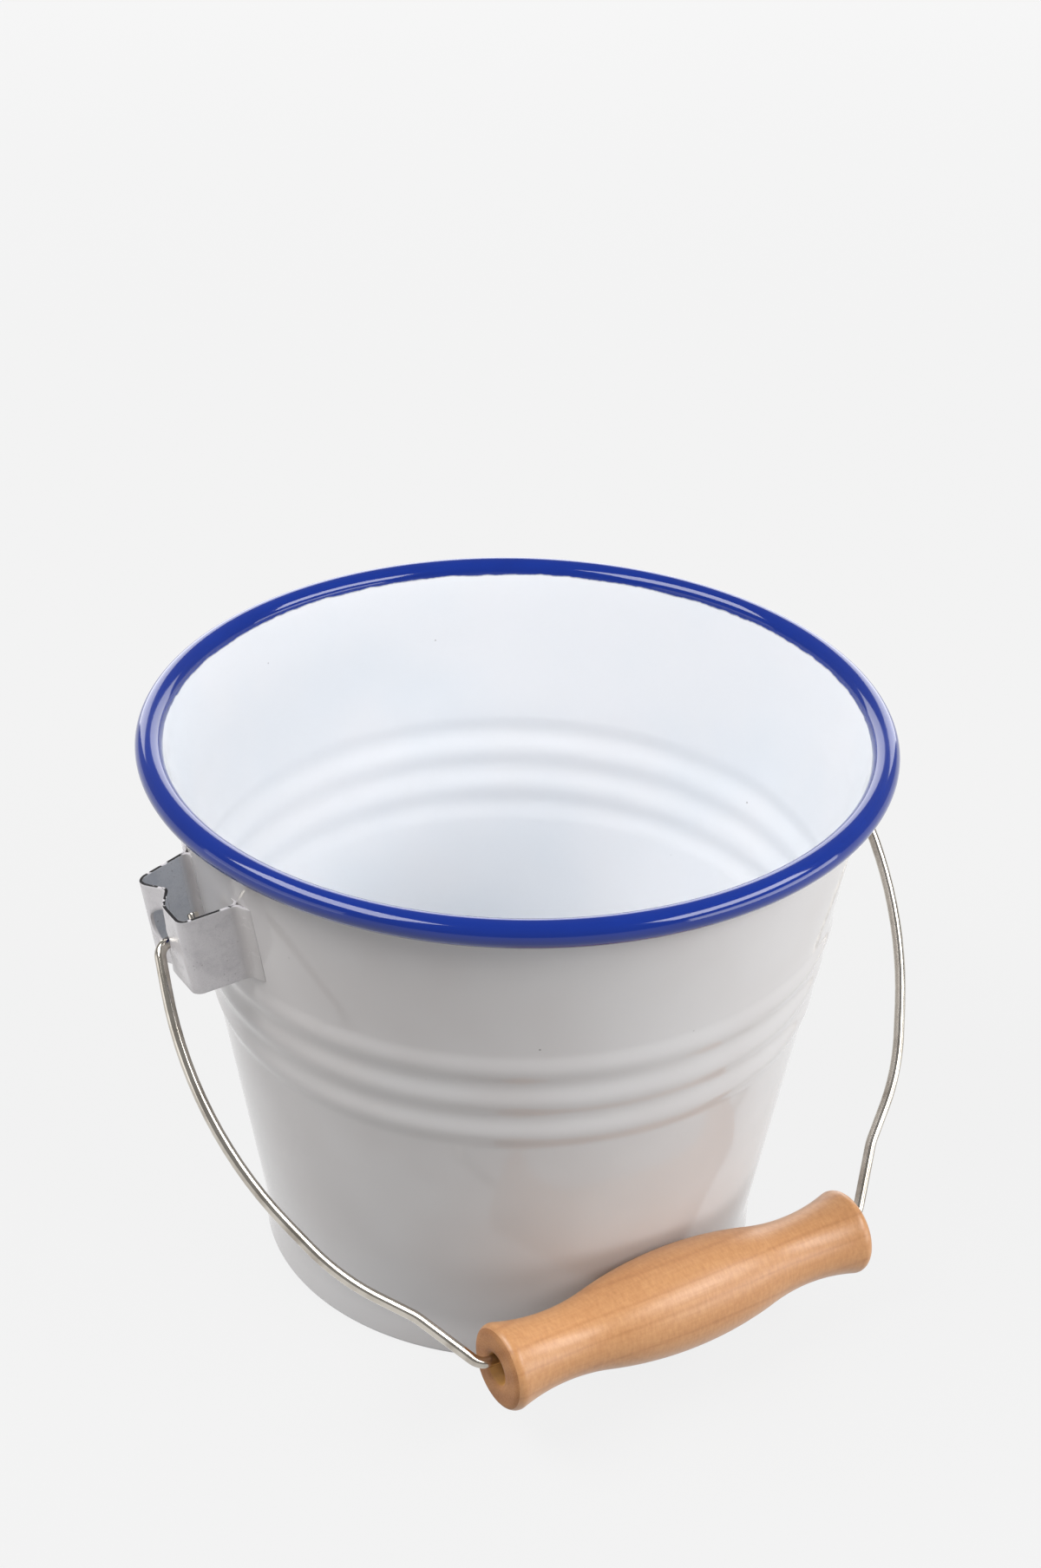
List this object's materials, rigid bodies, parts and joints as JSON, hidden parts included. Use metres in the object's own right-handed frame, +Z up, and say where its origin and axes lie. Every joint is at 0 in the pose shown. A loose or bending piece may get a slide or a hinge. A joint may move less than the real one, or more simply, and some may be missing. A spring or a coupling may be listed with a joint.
{
  "type": "enamel bucket",
  "caption": "Conical enamelled pail with a rolled rim and pressed ribs, folded side ears, and a swinging wire bail that carries a loose turned wooden grip.",
  "frame": {"origin": "centre of the foot, on the floor", "axes": "+Z up along the axis of the pail, +X along the pivot line of the bail, -Y to the side where the bail hangs"},
  "size_m": [0.2632, 0.24, 0.19],
  "materials": {
    "wall_enamel": "gloss vitreous enamel",
    "pan_enamel": "gloss vitreous enamel",
    "ear_enamel": "gloss vitreous enamel",
    "plated_wire": "bright plated",
    "grip_wood": "turned and waxed"
  },
  "bodies": {
    "pail": {"pail_wall": "wall_enamel", "bottom_pan": "pan_enamel", "ear_left": "ear_enamel", "ear_right": "ear_enamel"},
    "bail": {"bail_wire": "plated_wire"},
    "grip": {"wooden_grip": "grip_wood"}
  },
  "joints": [
    {"name": "bail_swing", "type": "hinge", "parent": "pail", "child": "bail", "pos_m": [0, 0.00092, 0.14594], "axis": [-1, 0, 0], "range_deg": [0, 276.4]},
    {"name": "grip_spin", "type": "hinge", "parent": "bail", "child": "grip", "pos_m": [0, -0.10329, 0.03141], "axis": [1, 0, 0], "continuous": true}
  ]
}
